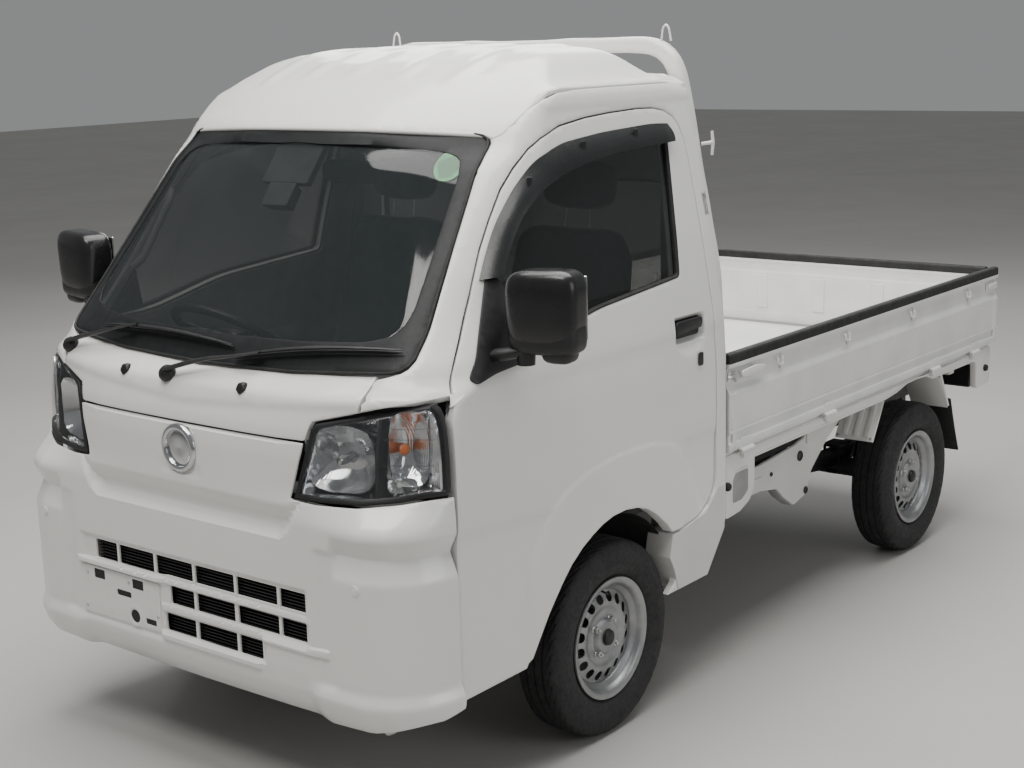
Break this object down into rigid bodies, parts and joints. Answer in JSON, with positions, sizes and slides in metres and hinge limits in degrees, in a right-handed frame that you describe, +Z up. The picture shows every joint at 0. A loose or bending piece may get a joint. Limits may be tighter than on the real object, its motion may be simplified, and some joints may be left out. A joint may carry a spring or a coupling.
{
  "type": "flatbed micro truck",
  "caption": "High-roof cab-over light truck with an open drop-side bed, opening doors, steering and rolling wheels.",
  "frame": {"origin": "on the ground at the centre of the truck's length and width", "axes": "+X to the truck's left side, +Y to its rear, +Z up; it faces -Y"},
  "size_m": [1.8972, 3.393, 1.872],
  "materials": {
    "body_white": "gloss white enamel",
    "chassis_black": "satin black underbody paint",
    "cast_metal": "rough cast, lightly oxidised",
    "wheel_silver": "silver wheel paint",
    "tyre": "matt black rubber",
    "rubber_black": "matt black rubber",
    "lamp_glass": "clear lamp lens",
    "window_glass": "green tinted safety glass",
    "black_plastic": "grained black plastic",
    "cabin_plastic": "dark grey moulded plastic",
    "seat_cloth": "dark grey woven seat cloth",
    "lamp_red": "red lamp lens"
  },
  "bodies": {
    "truck": {"chassis_frame": "chassis_black", "engine": "cast_metal", "fuel_tank": "chassis_black", "rear_axle": "chassis_black", "leaf_springs": "chassis_black", "control_arms": "chassis_black", "cab_floor": "body_white", "back_wall": "body_white", "roof": "body_white", "a_pillars": "body_white", "front_panel": "body_white", "front_bumper": "body_white", "front_plate_bracket": "body_white", "headlights": "lamp_glass", "windshield": "window_glass", "rear_window": "window_glass", "wipers": "black_plastic", "dashboard": "cabin_plastic", "steering_column": "cabin_plastic", "seat_cushions": "seat_cloth", "seat_backs": "seat_cloth", "bed_floor": "body_white", "guard_frame": "body_white", "rear_mudguards": "body_white", "mud_flaps": "rubber_black", "tail_lights": "lamp_red"},
    "steer_left": {"knuckle_left": "cast_metal"},
    "steer_right": {"knuckle_right": "cast_metal"},
    "wheel_front_left": {"front_left_wheel": "wheel_silver", "front_left_tyre": "tyre"},
    "wheel_front_right": {"front_right_wheel": "wheel_silver", "front_right_tyre": "tyre"},
    "wheel_rear_left": {"rear_left_wheel": "wheel_silver", "rear_left_tyre": "tyre"},
    "wheel_rear_right": {"rear_right_wheel": "wheel_silver", "rear_right_tyre": "tyre"},
    "steering_wheel": {"steering_wheel": "cabin_plastic"},
    "door_left": {"door_left": "body_white", "door_glass_left": "window_glass", "mirror_left": "black_plastic"},
    "door_right": {"door_right": "body_white", "door_glass_right": "window_glass", "mirror_right": "black_plastic"},
    "side_gate_left": {"side_gate_left": "body_white"},
    "side_gate_right": {"side_gate_right": "body_white"},
    "tailgate": {"tailgate": "body_white"}
  },
  "joints": [
    {"name": "steer_left", "type": "hinge", "parent": "truck", "child": "steer_left", "pos_m": [0.545, -0.853, 0.268], "axis": [0, 0, 1], "range_deg": [-35, 35]},
    {"name": "steer_right", "type": "hinge", "parent": "truck", "child": "steer_right", "pos_m": [-0.545, -0.853, 0.268], "axis": [0, 0, 1], "range_deg": [-35, 35]},
    {"name": "steering_wheel_turn", "type": "hinge", "parent": "truck", "child": "steering_wheel", "pos_m": [-0.335, -1.18, 1.035], "axis": [0, 0.6018, 0.7986], "range_deg": [-560, 560]},
    {"name": "spin_front_left", "type": "hinge", "parent": "steer_left", "child": "wheel_front_left", "pos_m": [0.652, -0.853, 0.268], "axis": [1, 0, 0], "continuous": true},
    {"name": "spin_front_right", "type": "hinge", "parent": "steer_right", "child": "wheel_front_right", "pos_m": [-0.652, -0.853, 0.268], "axis": [1, 0, 0], "continuous": true},
    {"name": "spin_rear_left", "type": "hinge", "parent": "truck", "child": "wheel_rear_left", "pos_m": [0.652, 1.047, 0.268], "axis": [1, 0, 0], "continuous": true},
    {"name": "spin_rear_right", "type": "hinge", "parent": "truck", "child": "wheel_rear_right", "pos_m": [-0.652, 1.047, 0.268], "axis": [1, 0, 0], "continuous": true},
    {"name": "door_left_hinge", "type": "hinge", "parent": "truck", "child": "door_left", "pos_m": [0.7, -1.47, 0.8], "axis": [0, 0, -1], "range_deg": [0, 68]},
    {"name": "door_right_hinge", "type": "hinge", "parent": "truck", "child": "door_right", "pos_m": [-0.7, -1.47, 0.8], "axis": [0, 0, 1], "range_deg": [0, 68]},
    {"name": "side_gate_left_hinge", "type": "hinge", "parent": "truck", "child": "side_gate_left", "pos_m": [0.741, 0.7, 0.65], "axis": [0, 1, 0], "range_deg": [0, 179]},
    {"name": "side_gate_right_hinge", "type": "hinge", "parent": "truck", "child": "side_gate_right", "pos_m": [-0.741, 0.7, 0.65], "axis": [0, -1, 0], "range_deg": [0, 179]},
    {"name": "tailgate_hinge", "type": "hinge", "parent": "truck", "child": "tailgate", "pos_m": [0, 1.6895, 0.65], "axis": [-1, 0, 0], "range_deg": [0, 179]}
  ],
  "couplings": [
    {"joint": "steer_right", "follows": "steer_left", "ratio": 1},
    {"joint": "steering_wheel_turn", "follows": "steer_left", "ratio": 16}
  ]
}
